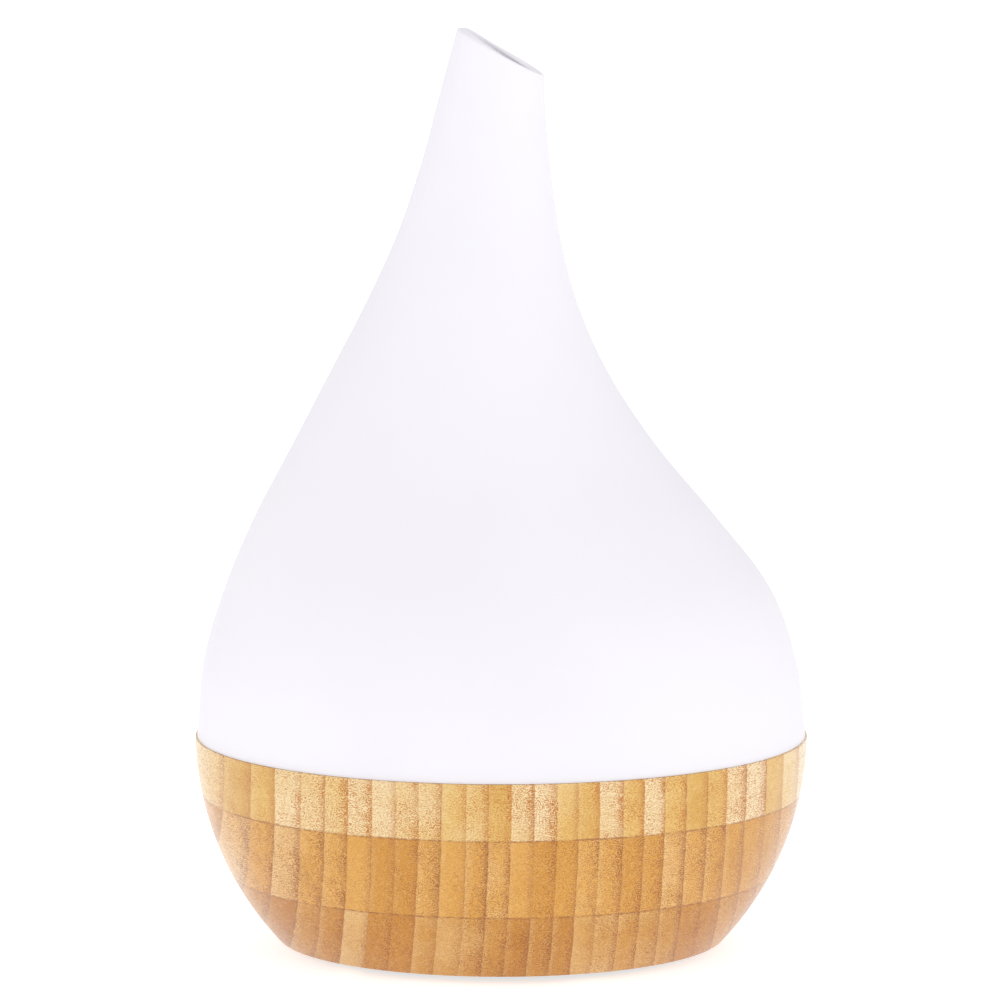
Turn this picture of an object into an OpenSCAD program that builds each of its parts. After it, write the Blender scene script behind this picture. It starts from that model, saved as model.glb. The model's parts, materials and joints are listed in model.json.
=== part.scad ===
// Ultrasonic cool mist humidifier: a leaning teardrop cover on a turned bamboo bowl.
// Millimetres, +Z up, origin on the table under the bowl's axis. +Y is the back, where
// the power socket and the buttons are; the spout leans in the X-Z plane.

/* [Bamboo bowl] */
// Diameter of the ball that the bowl is turned from
bowl_d = 145; // [143:0.5:147]
// Height of the bowl, from its foot to its rim
bowl_h = 48.5; // [48:0.1:49]
// Height of the ball's centre above the rim
bowl_centre_rise = 1.2; // [1:0.1:1.5]
// Thickness of the bowl's wall
bowl_wall = 6; // [5.8:0.1:6.2]
// Height that the rubber feet hold the bowl off the table
foot_h = 2; // [1.8:0.1:2.4]

/* [Cover] */
// Distance between the evenly spaced heights at which the cover's outline is given
cover_step = 17; // [16.5:0.1:17.5]
// Thickness of the cover's wall
cover_wall = 2.5; // [2:0.1:2.5]
// Height of the middle of the slanted mouth above the cover's foot
mouth_h = 162; // [155:1:164]
// Slope of the mouth, in degrees
mouth_tilt = 28; // [10:1:35]

/* [Water tank] */
// Outer radius of the tank's basin
tank_r = 54; // [53:0.5:54]
// Height of the basin's floor above the table
tank_floor_z = 31; // [31:0.1:32]
// Wall thickness of the tank
tank_wall = 2; // [1.8:0.1:2]
// Radius of the hole over the mist-making disc
disc_hole_r = 9; // [8:0.5:9]

/* [Fan] */
// Side of the square fan
fan_w = 25; // [24.8:0.1:25]
// Thickness of the fan
fan_h = 10; // [10:0.1:10.5]
// Distance of the fan's shaft from the bowl's axis
fan_x = -26; // [-26:0.1:-25.5]
// Distance of the air riser from the bowl's axis
riser_x = -38; // [-38:0.1:-37.5]
// Number of fan blades
fan_blades = 7; // [5:1:9]

/* [Socket and buttons] */
// Height of the power socket above the table
jack_z = 18; // [17.8:0.1:18.2]
// Height of the two push buttons above the table
button_z = 34; // [33.8:0.1:34.2]
// Sideways distance of each button from the middle
button_x = 10; // [9.5:0.1:10]
// Radius of a button
button_r = 4; // [3.5:0.1:4]

/* [Hidden] */

$fn = 96;
eps = 0.01;
slip = 0.1;             // gap between faces that rest on each other and part company

white = [0.96, 0.96, 0.97];
milky = [0.88, 0.90, 0.92];
bamboo = [0.85, 0.66, 0.38];
dark = [0.12, 0.12, 0.13];
steel = [0.75, 0.76, 0.78];
board_green = [0.10, 0.36, 0.20];

// Bowl
bowl_r = bowl_d / 2;
rim_z = foot_h + bowl_h;
ball_z = rim_z + bowl_centre_rise;
cavity_r = bowl_r - bowl_wall;
ledge_z = foot_h + 6;       // top of the bowl's inner foot ring
ledge_r = 42;               // hole through that ring
plate_h = 3;
plate_top_z = foot_h + plate_h;
plate_seat_r = 47.5;
rim_seat_r = 69.5;          // rebate that holds the tank's flange
rim_seat_h = 2.5;

// Outline of the cover: its radius and its sideways lean at evenly spaced heights, from
// its foot to above its tip
cover_radii = [72, 70.2, 64.7, 54.7, 43.2, 33.2, 25, 19, 15, 12.1, 10];
cover_leans = [0, -0.3, -0.9, -3.8, -6.4, -7.6, -7, -5.3, -3.6, -2, 0.5];

// Rings between the bowl, the tank and the cover
seat_ring_h = 0.4;
seat_ring_inset = 1.2;      // from the bowl's outer face
seat_ring_gap = 0.9;        // between the ring and the tank's collar
cover_z = rim_z + seat_ring_h + 2 * slip;
seal_h = 0.6;
flange_z = rim_z - rim_seat_h + seal_h;
flange_h = 1.8;
tank_collar_r = 68.8;
tank_collar_wall = 2;
tank_collar_z = rim_z + 5.5;

// Mist-making disc, hung from the middle of the tank's floor
well_z = tank_floor_z - 1.5;
well_under_z = well_z - tank_wall;
seal_under_z = well_under_z - 2.6;
retainer_h = 1.8;
retainer_z = seal_under_z - retainer_h;
disc_r = 10;
disc_h = 1.2;
retainer_screw_r = 16;
retainer_angles = [90, 210, 330];

// Light ring
led_board_z = 23.4;
led_board_h = 1.6;
led_ring_r = 23.2;
led_post_angles = [90, 270];

// Circuit board
board_z = 9.5;
board_h = 1.6;
board_top_z = board_z + board_h;
board_posts = [[-5, 27], [-5, -27], [34, 11]];

// Screws and feet under the base plate
case_screw_r = 38;
case_screw_angles = [70, 110, 250, 290];
case_sink_h = 1.6;          // depth of the recess for a case screw's head
case_boss_r = 3.6;
foot_ring_r = 38;
foot_angles = [45, 135, 225, 315];
foot_r = 5.5;
foot_recess = 0.6;

// Fan
fan_z = plate_top_z;
fan_top_z = fan_z + fan_h;
fan_hole = 10;              // half the fan's hole spacing
tunnel_r = 11.6;
riser_r = 9;
riser_bore_r = 7.4;
duct_z = fan_top_z + slip;
duct_top_z = 22.4;
duct_wall = 1;
duct_flange_h = 1.2;

// Push buttons, pressed towards the front
press_travel = 0.5;
switch_y = tank_r + 1.8;    // inner face of the button board
switch_board_h = 1;
switch_board_w = 36;
switch_board_height = 10;
switch_screw_x = 15.2;
switch_body_h = 2.8;
switch_face_y = switch_y + switch_board_h + switch_body_h;
switch_recess = 1;
plunger_r = 1.6;
plunger_y = switch_face_y - switch_recess + press_travel + 0.15;
cap_y = switch_face_y + 0.8;
cap_flange_h = 0.8;
cap_end_y = sqrt(pow(bowl_r, 2) - pow(ball_z - button_z, 2) - pow(button_x, 2)) + 0.5;

// Power socket, which lies along Y
jack_w = 9;
jack_h = 11;
jack_back_y = 37.5;
jack_front_y = 50;
jack_nose_y = 56.8;
jack_nose_r = 4.2;
socket_y = 46;              // bottom of the plug's hole
socket_r = 2.9;
pin_r = 1.05;
pin_length = 10;
pin_root_r = 1.4;           // thicker root, held in the socket's body
pin_root_y = 42;
bezel_y = 57.2;
bezel_r = 6.4;
bezel_bore_r = 5.6;

// Routes of the internal leads
lead_r = 0.9;
fan_lead_path = [[-13.5, -9, 12], [-12.2, -9, 12], [-11.2, -9.2, 13.4], [-10.2, -9.7, 16],
    [-8.6, -10.6, 18.2], [-7, -11.5, 18.6], [-6, -12, 17.8], [-6, -12, 16.6]];
transducer_lead_path = [[0, 4, 16.6], [0, 4, 18], [0.3, 3.2, 20.2], [0.8, 1.4, 22.4],
    [1, 0.4, 24], [1, 0.4, 25.7]];
led_lead_path = [[14, -22, 16.6], [14, -22, 18], [14.6, -21, 19.8], [15.8, -18.8, 21.2],
    [16.4, -17.4, 22.2], [16.4, -17.4, 23.4]];
power_lead_path = [[0, 37.5, 18], [0, 36.2, 18], [0.4, 34.2, 18.9], [1.1, 32, 19.5],
    [1.8, 30.5, 18.9], [2, 30, 17.8], [2, 30, 16.6]];
button_lead_path = [[20, 27, 16.6], [20, 27, 18.6], [20.6, 30, 22], [21.6, 36, 24],
    [20, 45, 25], [15, 53, 25.2], [9, 56, 25.4], [5, 56.3, 26.2], [4, 56.3, 27.4], [4, 56.3, 29]];

// ---------------------------------------------------------------- curves and sweeps

// Tangent of a smooth curve through evenly spaced values
function tangent(v, i) = i == 0 ? v[1] - v[0]
    : i == len(v) - 1 ? v[i] - v[i - 1]
    : (v[i + 1] - v[i - 1]) / 2;

// Value of that curve at t, counted in steps from the first value
function curve_at(v, t) =
    let (i = max(0, min(len(v) - 2, floor(t))), u = t - i)
    v[i] * (2 * pow(u, 3) - 3 * pow(u, 2) + 1)
    + tangent(v, i) * (pow(u, 3) - 2 * pow(u, 2) + u)
    + v[i + 1] * (3 * pow(u, 2) - 2 * pow(u, 3))
    + tangent(v, i + 1) * (pow(u, 3) - pow(u, 2));

function cover_r_at(h) = curve_at(cover_radii, h / cover_step);
function cover_lean_at(h) = curve_at(cover_leans, h / cover_step);
function cover_steepness(h) = cover_r_at(h + 0.5) - cover_r_at(h - 0.5);

// Height at angle a of a ring that slants towards +X around its middle height h
function slanted_h(h, a, slope, steps = 4) = steps == 0 ? h
    : let (g = slanted_h(h, a, slope, steps - 1))
    h - slope * (cover_lean_at(g) - cover_lean_at(h) + cover_r_at(g) * cos(a));

// The rings slant gradually over the top third, up to the slope of the mouth
function ring_slope(h) = tan(mouth_tilt) * pow(max(0, h / mouth_h * 1.5 - 0.5), 2);

// Points of one ring: inset 0 is the outer face
function cover_ring(h, inset, n) = [for (k = [0:n - 1])
    let (a = 360 * k / n, g = slanted_h(h, a, ring_slope(h)),
        r = max(1, cover_r_at(g) - inset * sqrt(1 + pow(cover_steepness(g), 2))))
    [cover_lean_at(g) + r * cos(a), r * sin(a), cover_z + g]];

// Triangles of a closed tube of rings, each ring joined to the next and the last to the first
function ring_faces(rings, n) = [for (j = [0:rings - 1], k = [0:n - 1])
    let (a = j * n, b = (j + 1) % rings * n, m = (k + 1) % n)
    each [[a + k, b + k, b + m], [a + k, b + m, a + m]]];

// Points along an arc in the r-z plane
function arc(centre, r, from, to, steps) = [for (i = [0:steps])
    let (a = from + (to - from) * i / steps)
    [centre[0] + r * cos(a), centre[1] + r * sin(a)]];

function unit(v) = v / norm(v);

// Direction of a path at point i
function heading(p, i) = unit(p[min(i + 1, len(p) - 1)] - p[max(i - 1, 0)]);

// A round tube swept along a path of points, with 8 sides
module sweep_tube(path, r) {
    sides = 8;
    last = len(path) - 1;
    side_vector = [0.6, -0.8, 0];
    points = [for (i = [0:last])
        let (d = heading(path, i), u = unit(cross(d, side_vector)), v = cross(d, u))
        for (k = [0:sides - 1])
        path[i] + r * (u * cos(360 * k / sides) + v * sin(360 * k / sides))];
    walls = [for (i = [0:last - 1], k = [0:sides - 1])
        let (a = i * sides, b = a + sides, m = (k + 1) % sides)
        each [[a + k, b + m, b + k], [a + k, a + m, b + m]]];
    first_cap = [for (k = [sides - 1:-1:0]) k];
    last_cap = [for (k = [0:sides - 1]) last * sides + k];
    polyhedron(points, concat(walls, [first_cap, last_cap]));
}

// ---------------------------------------------------------------- shared small parts

module ring(outer_r, inner_r, h) {
    difference() {
        cylinder(r = outer_r, h = h);
        translate([0, 0, -eps]) cylinder(r = inner_r, h = h + 2 * eps);
    }
}

// A block standing on z = 0 with its middle at the origin
module block(size) {
    translate([-size[0] / 2, -size[1] / 2, 0]) cube(size);
}

module around(radius, angles) {
    for (a = angles) rotate([0, 0, a]) translate([radius, 0, 0]) children();
}

// Pan-head screw: head above z = 0, shank below, cross recess on top
module screw(shank_r, length, head_r, head_h) {
    slot_w = head_r * 0.35;
    difference() {
        union() {
            cylinder(r = head_r, h = head_h, $fn = 32);
            translate([0, 0, -length]) cylinder(r = shank_r, h = length, $fn = 24);
        }
        for (a = [0, 90]) rotate([0, 0, a])
            translate([0, 0, head_h - 0.6]) block([head_r * 1.3, slot_w, 1]);
    }
}

// ---------------------------------------------------------------- cover and mist path

module cover() {
    n = 48;
    edge = 1.2;             // rounding of the foot's outer edge
    outer = 26;             // rings up the outside
    inner = 22;             // rings down the inside
    foot_rings = [for (a = [0, 30, 60])
        let (shrink = edge * (1 - sin(a)), r = cover_r_at(0) - shrink)
        [for (k = [0:n - 1]) let (b = 360 * k / n)
            [r * cos(b), r * sin(b), cover_z + edge * (1 - cos(a))]]];
    outer_rings = [for (i = [0:outer])
        cover_ring(edge + (mouth_h - edge) * i / outer, 0, n)];
    inner_rings = [for (i = [0:inner])
        cover_ring(mouth_h * (1 - i / inner), cover_wall, n)];
    rings = concat(foot_rings, outer_rings, inner_rings);
    color(white)
        polyhedron([for (r = rings) each r], ring_faces(len(rings), n));
}

module cover_seat_ring() {
    color(milky) translate([0, 0, rim_z + slip])
        ring(bowl_r - seat_ring_inset, tank_collar_r + seat_ring_gap, seat_ring_h);
}

module mist_guide() {
    foot_outer_r = 66.2;
    chimney_r = 14;
    skin = 1.8;
    foot_z = flange_z + flange_h + slip;
    spring_z = foot_z + 1.6;
    dome_h = 21.8;
    chimney_rise = 12;      // above the top of the dome
    chimney_top_z = spring_z + dome_h + chimney_rise;
    steps = 14;
    dome_span = foot_outer_r - chimney_r;
    outer = [for (i = [0:steps]) let (a = 90 * i / steps)
        [chimney_r + dome_span * cos(a), spring_z + dome_h * sin(a)]];
    inner = [for (i = [steps:-1:0]) let (a = 90 * i / steps)
        [chimney_r - skin + dome_span * cos(a), spring_z + (dome_h - skin) * sin(a)]];
    color(milky) rotate_extrude()
        polygon(concat([[foot_outer_r, foot_z]], outer,
            [[chimney_r, chimney_top_z], [chimney_r - skin, chimney_top_z]], inner,
            [[foot_outer_r - skin, foot_z]]));
}

// ---------------------------------------------------------------- bowl and base

module bamboo_bowl() {
    edge = 0.8;             // chamfer on the rim's outer edge
    color(bamboo) difference() {
        intersection() {
            translate([0, 0, ball_z]) sphere(r = bowl_r);
            translate([0, 0, foot_h]) cylinder(r = bowl_r + 1, h = bowl_h);
            translate([0, 0, foot_h - 1])
                cylinder(r1 = bowl_r + bowl_h + 1 - edge, r2 = bowl_r - edge, h = bowl_h + 1);
        }
        intersection() {
            translate([0, 0, ball_z]) sphere(r = cavity_r);
            translate([0, 0, ledge_z]) cylinder(r = bowl_r, h = bowl_h);
        }
        cylinder(r = ledge_r, h = ledge_z + 1);
        cylinder(r = plate_seat_r, h = plate_top_z);
        translate([0, 0, rim_z - rim_seat_h]) cylinder(r = rim_seat_r, h = rim_seat_h + 1);
        translate([0, ledge_r, jack_z]) rotate([-90, 0, 0]) cylinder(r = bezel_r + 0.1, h = bowl_r);
        for (side = [-1, 1]) translate([side * button_x, ledge_r, button_z])
            rotate([-90, 0, 0]) cylinder(r = button_r + 0.2, h = bowl_r, $fn = 48);
    }
}

module base_plate() {
    slot_w = 1.6;
    post_r = 2.8;
    grille_r = 10.4;
    peg_r = 1.3;
    board_pilot_r = 1.05;
    fan_pilot_r = 1.15;
    case_hole_r = 1.8;
    case_sink_r = 3.3;
    color(dark) difference() {
        union() {
            translate([0, 0, foot_h]) cylinder(r = plate_seat_r - 0.3, h = plate_h);
            for (p = board_posts) translate([p[0], p[1], plate_top_z])
                cylinder(r = post_r, h = board_z - plate_top_z, $fn = 32);
            for (side = [-1, 1]) translate([fan_x - fan_hole, side * fan_hole, plate_top_z])
                cylinder(r = peg_r, h = fan_h - 0.5, $fn = 24);
            // Post under the power socket
            translate([0, jack_back_y + 2, plate_top_z])
                block([jack_w - 1, 4, jack_z - jack_h / 2 - plate_top_z]);
        }
        for (x = [-8:3.2:8]) let (reach = sqrt(pow(grille_r, 2) - pow(x, 2)))
            translate([fan_x + x, 0, 0]) block([slot_w, 2 * reach, 10]);
        for (p = board_posts) translate([p[0], p[1], foot_h + 1])
            cylinder(r = board_pilot_r, h = board_z, $fn = 24);
        for (side = [-1, 1]) translate([fan_x + fan_hole, side * fan_hole, foot_h + 0.8])
            cylinder(r = fan_pilot_r, h = plate_h, $fn = 24);
        around(case_screw_r, case_screw_angles) {
            cylinder(r = case_hole_r, h = 10, $fn = 32);
            cylinder(r = case_sink_r, h = foot_h + case_sink_h, $fn = 32);
        }
        around(foot_ring_r, foot_angles) cylinder(r = foot_r + 0.1, h = foot_h + foot_recess);
    }
}

module foot(index) {
    chamfer = 0.5;
    color(dark) rotate([0, 0, foot_angles[index - 1]]) translate([foot_ring_r, 0, 0]) {
        cylinder(r1 = foot_r - chamfer, r2 = foot_r, h = chamfer, $fn = 48);
        translate([0, 0, chamfer]) cylinder(r = foot_r, h = foot_h + foot_recess - chamfer, $fn = 48);
    }
}

module base_screws() {
    color(steel) around(case_screw_r, case_screw_angles)
        translate([0, 0, foot_h + case_sink_h]) rotate([180, 0, 0]) screw(1.4, 12, 2.9, 1.5);
}

// ---------------------------------------------------------------- tank

module water_tank() {
    inner_r = tank_r - tank_wall;
    corner = 6;             // radius of the basin's inner corner
    well_r = 13;
    slope_r = 30;           // the floor slopes down from here to the well
    case_pilot_r = 1.5;
    retainer_pilot_r = 1.05;
    small_pilot_r = 0.9;
    floor_under_z = tank_floor_z - tank_wall;
    section = concat(
        [[tank_collar_r - tank_collar_wall, tank_collar_z], [tank_collar_r, tank_collar_z],
            [tank_collar_r, flange_z + flange_h],
            [rim_seat_r - 0.3, flange_z + flange_h], [rim_seat_r - 0.3, flange_z],
            [tank_r, flange_z]],
        arc([tank_r - corner, floor_under_z + corner], corner, 0, -90, 8),
        [[slope_r, floor_under_z], [well_r, well_under_z], [0, well_under_z], [0, well_z],
            [well_r, well_z], [slope_r, tank_floor_z]],
        arc([inner_r - corner, tank_floor_z + corner], corner, -90, 0, 8),
        [[inner_r, flange_z + flange_h], [tank_collar_r - tank_collar_wall, flange_z + flange_h]]);
    color(milky) difference() {
        union() {
            rotate_extrude() polygon(section);
            translate([riser_x, 0, duct_top_z])
                cylinder(r = riser_r, h = tank_collar_z + 1.5 - duct_top_z);
            around(case_screw_r, case_screw_angles) translate([0, 0, plate_top_z + slip])
                cylinder(r = case_boss_r, h = tank_floor_z - 1 - plate_top_z, $fn = 32);
            around(retainer_screw_r, retainer_angles) translate([0, 0, seal_under_z])
                cylinder(r = 3, h = well_z - 0.5 - seal_under_z, $fn = 32);
            around(led_ring_r, led_post_angles) translate([0, 0, led_board_z + led_board_h])
                cylinder(r = 2.4, h = 5, $fn = 32);
            // Pads for the button board
            for (side = [-1, 1]) translate([side * switch_screw_x - 2, tank_r - 3, button_z - 3])
                cube([4, switch_y - tank_r + 3, 6]);
            socket_bracket();
        }
        translate([0, 0, well_under_z - 1]) cylinder(r = disc_hole_r, h = 5);
        translate([riser_x, 0, duct_top_z - 1]) cylinder(r = riser_bore_r, h = 50);
        around(case_screw_r, case_screw_angles) cylinder(r = case_pilot_r, h = foot_h + 16, $fn = 24);
        around(retainer_screw_r, retainer_angles) translate([0, 0, seal_under_z - 1])
            cylinder(r = retainer_pilot_r, h = 4.4, $fn = 24);
        around(led_ring_r, led_post_angles) translate([0, 0, led_board_z])
            cylinder(r = small_pilot_r, h = led_board_h + 3.4, $fn = 24);
        for (side = [-1, 1]) translate([side * switch_screw_x, switch_y - 3, button_z])
            rotate([-90, 0, 0]) cylinder(r = small_pilot_r, h = 5, $fn = 24);
    }
}

// Bridge under the tank's floor that the power socket slides into from below
module socket_bracket() {
    cheek = 1.8;
    depth = 9;
    roof_h = 1.2;
    middle_y = jack_back_y + 7;
    jack_top_z = jack_z + jack_h / 2;
    under_z = jack_z - 5;
    translate([0, middle_y, 0]) difference() {
        translate([0, 0, under_z])
            block([jack_w + 0.2 + 2 * cheek, depth, tank_floor_z - 1 - under_z]);
        translate([0, 0, under_z - 1])
            block([jack_w + 0.2, depth + 2, jack_top_z + slip - under_z + 1]);
        translate([0, 0, jack_top_z + slip + roof_h])
            block([jack_w + 0.2, depth + 2, tank_floor_z - tank_wall - jack_top_z - slip - roof_h]);
    }
}

module tank_seal() {
    color(dark) translate([0, 0, rim_z - rim_seat_h]) ring(rim_seat_r - 0.4, cavity_r + 0.2, seal_h);
}

module transducer_disc() {
    color(steel) translate([0, 0, seal_under_z + 0.8]) cylinder(r = disc_r, h = disc_h);
}

module transducer_seal() {
    lip_r = 8.6;
    outer_r = 12;
    groove_r = disc_r + 0.05;
    groove_z = seal_under_z + 0.75;
    color(milky) difference() {
        translate([0, 0, seal_under_z]) ring(outer_r, lip_r, well_under_z - seal_under_z);
        translate([0, 0, groove_z]) cylinder(r = groove_r, h = disc_h + 0.1);
    }
}

module transducer_retainer() {
    color(white) translate([0, 0, retainer_z]) difference() {
        union() {
            cylinder(r = 13, h = retainer_h);
            around(retainer_screw_r, retainer_angles) {
                cylinder(r = 3.2, h = retainer_h, $fn = 32);
                translate([-5, -2.6, 0]) cube([5, 5.2, retainer_h]);
            }
        }
        translate([0, 0, -1]) cylinder(r = 8.6, h = retainer_h + 2);
        around(retainer_screw_r, retainer_angles) translate([0, 0, -1])
            cylinder(r = 1.3, h = retainer_h + 2, $fn = 24);
    }
}

module transducer_screws() {
    color(steel) around(retainer_screw_r, retainer_angles)
        translate([0, 0, retainer_z]) rotate([180, 0, 0]) screw(1, 4.6, 2, 1.2);
}

// ---------------------------------------------------------------- light ring

module led_board() {
    color(white) translate([0, 0, led_board_z]) difference() {
        ring(26.4, 20, led_board_h);
        around(led_ring_r, led_post_angles) translate([0, 0, -1])
            cylinder(r = 1.1, h = led_board_h + 2, $fn = 24);
    }
}

module led_chips() {
    chip_w = 3.5;
    color([1, 0.93, 0.75]) around(led_ring_r, [0, 45, 135, 180, 225, 315])
        translate([0, 0, led_board_z + led_board_h]) block([chip_w, chip_w, 1.2]);
}

module led_screws() {
    color(steel) around(led_ring_r, led_post_angles)
        translate([0, 0, led_board_z]) rotate([180, 0, 0]) screw(0.85, 4.4, 1.8, 1.1);
}

// ---------------------------------------------------------------- circuit board

module main_board() {
    board_r = 39;
    edge_x = -10;
    boss_gap = 4.6;
    color(board_green) translate([0, 0, board_z]) difference() {
        intersection() {
            cylinder(r = board_r, h = board_h);
            translate([edge_x, -board_r, 0]) cube([2 * board_r, 2 * board_r, board_h]);
        }
        around(case_screw_r, case_screw_angles) translate([0, 0, -1])
            cylinder(r = boss_gap, h = board_h + 2);
        // Clear of the post under the power socket
        translate([-8, 35, -1]) cube([16, 10, board_h + 2]);
        for (p = board_posts) translate([p[0], p[1], -1])
            cylinder(r = 1.3, h = board_h + 2, $fn = 24);
    }
}

module board_screws() {
    color(steel) for (p = board_posts) translate([p[0], p[1], board_top_z]) screw(1, 4.6, 2.2, 1.3);
}

module controller_chip() {
    color(dark) translate([13, -7, board_top_z]) {
        translate([0, 0, 0.2]) block([10, 4.4, 1.5]);
        for (i = [0:6], side = [-1, 1]) translate([(i - 3) * 1.27, side * 2.7, 0])
            block([0.5, 1, 0.9]);
    }
}

module inductor() {
    color([0.30, 0.22, 0.16]) translate([8, 16, board_top_z]) {
        cylinder(r = 5, h = 1.2, $fn = 48);
        cylinder(r = 4.2, h = 6.6, $fn = 48);
        translate([0, 0, 5.8]) cylinder(r = 5, h = 1.2, $fn = 48);
    }
}

module capacitors() {
    sizes = [[31, 0, 3.5, 9], [30, -9, 3, 8], [22, -14, 2.5, 7]];
    color([0.16, 0.20, 0.42]) for (c = sizes) translate([c[0], c[1], board_top_z])
        cylinder(r = c[2], h = c[3], $fn = 48);
}

module power_transistor() {
    color(dark) translate([24, 12.9, board_top_z]) {
        translate([0, 0, 1.5]) block([10, 4, 8]);
        for (i = [-1:1]) translate([i * 2.54, 0, 0]) block([0.8, 0.6, 2]);
    }
}

module heat_sink() {
    fin_w = 1;
    color(steel) translate([24, 15, board_top_z]) {
        translate([-7, 0, 0]) cube([14, 1.6, 9.4]);
        for (i = [0:4]) translate([-7 + i * 3.25, 1.6 - eps, 0]) cube([fin_w, 5.4, 9.4]);
    }
}

module wire_headers() {
    places = [[2, 30], [-6, -12], [0, 4], [14, -22], [20, 27]];
    color([0.93, 0.90, 0.80]) for (p = places) translate([p[0], p[1], board_top_z])
        block([5, 4.4, 5.5]);
}

// ---------------------------------------------------------------- fan and duct

module fan_frame() {
    hub_r = 6;
    tube_r = 2.6;
    strut_w = 1.6;
    color(dark) translate([fan_x, 0, fan_z]) {
        difference() {
            block([fan_w, fan_w, fan_h]);
            translate([0, 0, -1]) cylinder(r = tunnel_r, h = fan_h + 2);
            for (x = [-1, 1], y = [-1, 1]) translate([x * fan_hole, y * fan_hole, -1])
                cylinder(r = 1.45, h = fan_h + 2, $fn = 24);
        }
        difference() {
            union() {
                cylinder(r = hub_r, h = 1.2);
                cylinder(r = tube_r, h = 6.5, $fn = 48);
                for (a = [30, 150, 270]) rotate([0, 0, a]) translate([0, -strut_w / 2, 0])
                    cube([tunnel_r + 0.4, strut_w, 1.2]);
            }
            translate([0, 0, 1.2]) cylinder(r = 1.8, h = 10, $fn = 48);
        }
    }
}

module fan_bearing() {
    color([0.72, 0.52, 0.25]) translate([fan_x, 0, fan_z + 1.3]) difference() {
        cylinder(r = 1.75, h = 5, $fn = 48);
        translate([0, 0, -1]) cylinder(r = 0.79, h = 8, $fn = 48);
    }
}

module fan_stator() {
    color([0.75, 0.42, 0.20]) translate([fan_x, 0, fan_z + 2.2]) {
        ring(3.5, 2.65, 3.2);
        for (a = [0:90:270]) rotate([0, 0, a]) {
            translate([3.2, -1.1, 0.2]) cube([1.8, 2.2, 2.8]);
            intersection() {
                ring(5.6, 4.8, 3.2);
                rotate([0, 0, -35]) cube([6, 6, 3.2]);
                rotate([0, 0, -55]) cube([6, 6, 3.2]);
            }
        }
    }
}

module fan_rotor() {
    hub_r = 7.8;
    bore_r = 0.77;
    skirt_z = 1.9;
    cap_z = 7.6;
    cap_h = 1.2;
    blade_w = 6.4;
    color([0.2, 0.2, 0.22]) translate([fan_x, 0, fan_z]) difference() {
        union() {
            translate([0, 0, skirt_z]) ring(hub_r, 6.75, cap_z - skirt_z + eps);
            translate([0, 0, cap_z]) cylinder(r = hub_r, h = cap_h);
            translate([0, 0, cap_z - 0.9]) cylinder(r = 1.7, h = 1, $fn = 32);
            for (i = [0:fan_blades - 1]) rotate([0, 0, 360 * i / fan_blades])
                translate([hub_r - 0.5, 0, (skirt_z + cap_z + cap_h) / 2]) rotate([-38, 0, 0])
                translate([0, -blade_w / 2, -0.35]) cube([3.2, blade_w, 0.7]);
        }
        translate([0, 0, cap_z - 2]) cylinder(r = bore_r, h = 2.6, $fn = 32);
    }
}

module fan_shaft() {
    color(steel) translate([fan_x, 0, fan_z + 1.4]) cylinder(r = 0.75, h = 6.7, $fn = 48);
}

module fan_magnet() {
    color([0.25, 0.25, 0.27]) translate([fan_x, 0, fan_z + 2]) ring(6.7, 5.9, 5);
}

// Plenum that carries the fan's air sideways to the riser
module fan_duct() {
    inlet_r = 10.9;
    sleeve_bore_r = riser_r + 0.2;
    sleeve_wall = 0.8;
    sleeve_h = 3;
    color(white) difference() {
        union() {
            translate([fan_x, 0, duct_z]) block([fan_w, fan_w, duct_flange_h]);
            translate([0, 0, duct_z]) linear_extrude(duct_top_z - duct_z)
                duct_plan(inlet_r + duct_wall, sleeve_bore_r + duct_wall);
            translate([riser_x, 0, duct_top_z - duct_wall / 2])
                cylinder(r = sleeve_bore_r + sleeve_wall, h = sleeve_h);
        }
        translate([0, 0, duct_z - 1]) linear_extrude(duct_top_z - duct_wall - duct_z + 1)
            duct_plan(inlet_r, sleeve_bore_r);
        translate([riser_x, 0, duct_top_z - duct_wall - 1]) cylinder(r = riser_bore_r, h = 10);
        translate([riser_x, 0, duct_top_z - slip]) cylinder(r = sleeve_bore_r, h = 10);
        for (side = [-1, 1]) translate([fan_x + fan_hole, side * fan_hole, 0])
            cylinder(r = 1.4, h = 30, $fn = 24);
    }
}

module duct_plan(fan_end_r, riser_end_r) {
    hull() {
        translate([fan_x, 0]) circle(r = fan_end_r, $fn = 64);
        translate([riser_x, 0]) circle(r = riser_end_r, $fn = 64);
    }
}

module fan_screws() {
    color(steel) for (side = [-1, 1])
        translate([fan_x + fan_hole, side * fan_hole, duct_z + duct_flange_h])
            screw(1.1, 13, 2, 1.2);
}

// ---------------------------------------------------------------- power socket

// A round bar along +Y from y at the socket's height
module socket_bar(r, y, length) {
    translate([0, y, jack_z]) rotate([-90, 0, 0]) cylinder(r = r, h = length);
}

module dc_jack() {
    color(dark) difference() {
        union() {
            translate([-jack_w / 2, jack_back_y, jack_z - jack_h / 2])
                cube([jack_w, jack_front_y - jack_back_y, jack_h]);
            socket_bar(jack_nose_r, jack_front_y - 1, jack_nose_y - jack_front_y + 1);
        }
        socket_bar(socket_r, socket_y, 20);
        socket_bar(pin_root_r + 0.05, pin_root_y, 20);
    }
}

module dc_pin() {
    color(steel) union() {
        socket_bar(pin_root_r, pin_root_y, socket_y - pin_root_y);
        socket_bar(pin_r, socket_y - 1, pin_length + 1);
    }
}

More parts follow.
